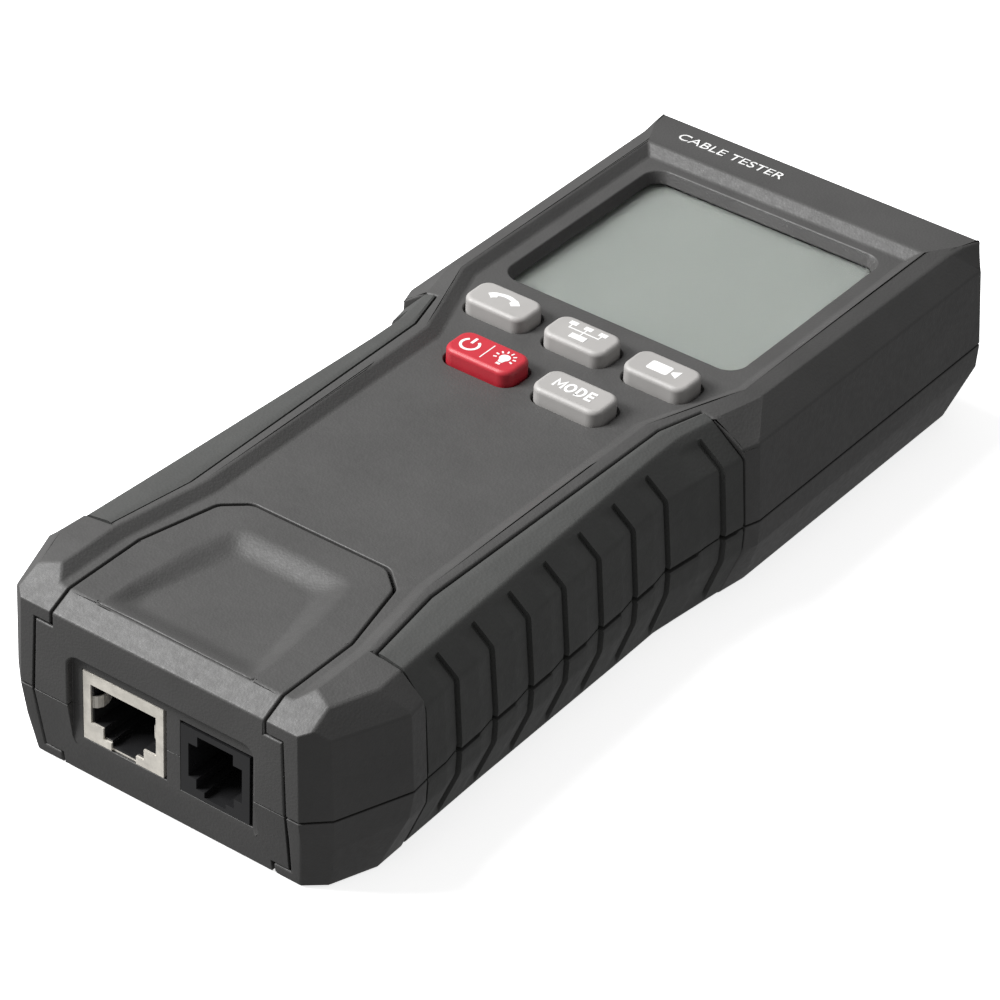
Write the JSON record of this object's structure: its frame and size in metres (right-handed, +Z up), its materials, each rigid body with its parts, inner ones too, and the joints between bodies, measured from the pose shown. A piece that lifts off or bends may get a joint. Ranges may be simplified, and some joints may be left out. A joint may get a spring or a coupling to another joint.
{
  "type": "network cable tester",
  "caption": "Handheld network cable tester with a sunken display, press keys, ribbed rubber side grips and a slide-out remote end that carries the jacks",
  "frame": {"origin": "middle of the underside the tester lies on", "axes": "X is the width, Y the length with the remote at -Y and the display at +Y, Z up"},
  "size_m": [0.0722, 0.175, 0.0344],
  "materials": {
    "housing_plastic": "fine pebble grain, dark grey moulded ABS",
    "grip_rubber": "soft matt rubber with a slightly coarser grain",
    "key_grey": "satin silicone, warm light grey",
    "key_red": "satin silicone, red",
    "mat_rubber": "plain silicone",
    "spring_steel": "bright rolled sheet",
    "clear_window": "clear polished pane",
    "display_glass": "grey-green reflective liquid-crystal cell",
    "tray_plastic": "plain black moulding",
    "contact_rubber": "layered conductive rubber",
    "circuit_board": "green solder resist",
    "chip_plastic": "plain moulded package",
    "screw_steel": "zinc plated",
    "battery_case": "plain printed film over the can of the battery",
    "shield_metal": "tin plated folded sheet",
    "socket_plastic": "smooth black moulding",
    "contact_gold": "gold flash over spring wire"
  },
  "bodies": {
    "tester": {"front_housing": "housing_plastic", "rear_housing": "housing_plastic", "grip_upper_left": "grip_rubber", "grip_upper_right": "grip_rubber", "grip_lower_left": "grip_rubber", "grip_lower_right": "grip_rubber", "key_mat": "mat_rubber", "key_domes": "spring_steel", "display_window": "clear_window", "display_glass": "display_glass", "display_tray": "tray_plastic", "display_contact_strip": "contact_rubber", "main_board": "circuit_board", "board_chips": "chip_plastic", "beeper": "chip_plastic", "board_screws": "screw_steel", "housing_screws": "screw_steel", "battery": "battery_case", "battery_snaps": "spring_steel", "battery_contacts": "spring_steel", "network_socket_shield": "shield_metal", "network_socket_body": "socket_plastic", "phone_socket_body": "socket_plastic", "network_socket_wires": "contact_gold", "phone_socket_wires": "contact_gold"},
    "remote": {"remote_upper_shell": "housing_plastic", "remote_lower_shell": "housing_plastic", "remote_board": "circuit_board", "remote_chips": "chip_plastic", "remote_screws": "screw_steel", "remote_network_shield": "shield_metal", "remote_network_body": "socket_plastic", "remote_network_wires": "contact_gold", "remote_phone_body": "socket_plastic", "remote_phone_wires": "contact_gold"},
    "battery_door": {"battery_door": "housing_plastic"},
    "key_phone": {"key_phone": "key_grey"},
    "key_network": {"key_network": "key_grey"},
    "key_camera": {"key_camera": "key_grey"},
    "key_power": {"key_power": "key_red"},
    "key_mode": {"key_mode": "key_grey"}
  },
  "joints": [
    {"name": "remote_slide", "type": "slide", "parent": "tester", "child": "remote", "axis": [0, -1, 0], "range_m": [0, 0.045]},
    {"name": "door_hinge", "type": "hinge", "parent": "tester", "child": "battery_door", "pos_m": [0, -0.0451, 0.00065], "axis": [-1, 0, 0], "range_deg": [0, 95]},
    {"name": "phone_press", "type": "slide", "parent": "tester", "child": "key_phone", "axis": [0, 0, -1], "range_m": [0, 0.001], "stiffness_N_per_m": 900},
    {"name": "network_press", "type": "slide", "parent": "tester", "child": "key_network", "axis": [0, 0, -1], "range_m": [0, 0.001], "stiffness_N_per_m": 900},
    {"name": "camera_press", "type": "slide", "parent": "tester", "child": "key_camera", "axis": [0, 0, -1], "range_m": [0, 0.001], "stiffness_N_per_m": 900},
    {"name": "power_press", "type": "slide", "parent": "tester", "child": "key_power", "axis": [0, 0, -1], "range_m": [0, 0.001], "stiffness_N_per_m": 900},
    {"name": "mode_press", "type": "slide", "parent": "tester", "child": "key_mode", "axis": [0, 0, -1], "range_m": [0, 0.001], "stiffness_N_per_m": 900}
  ]
}
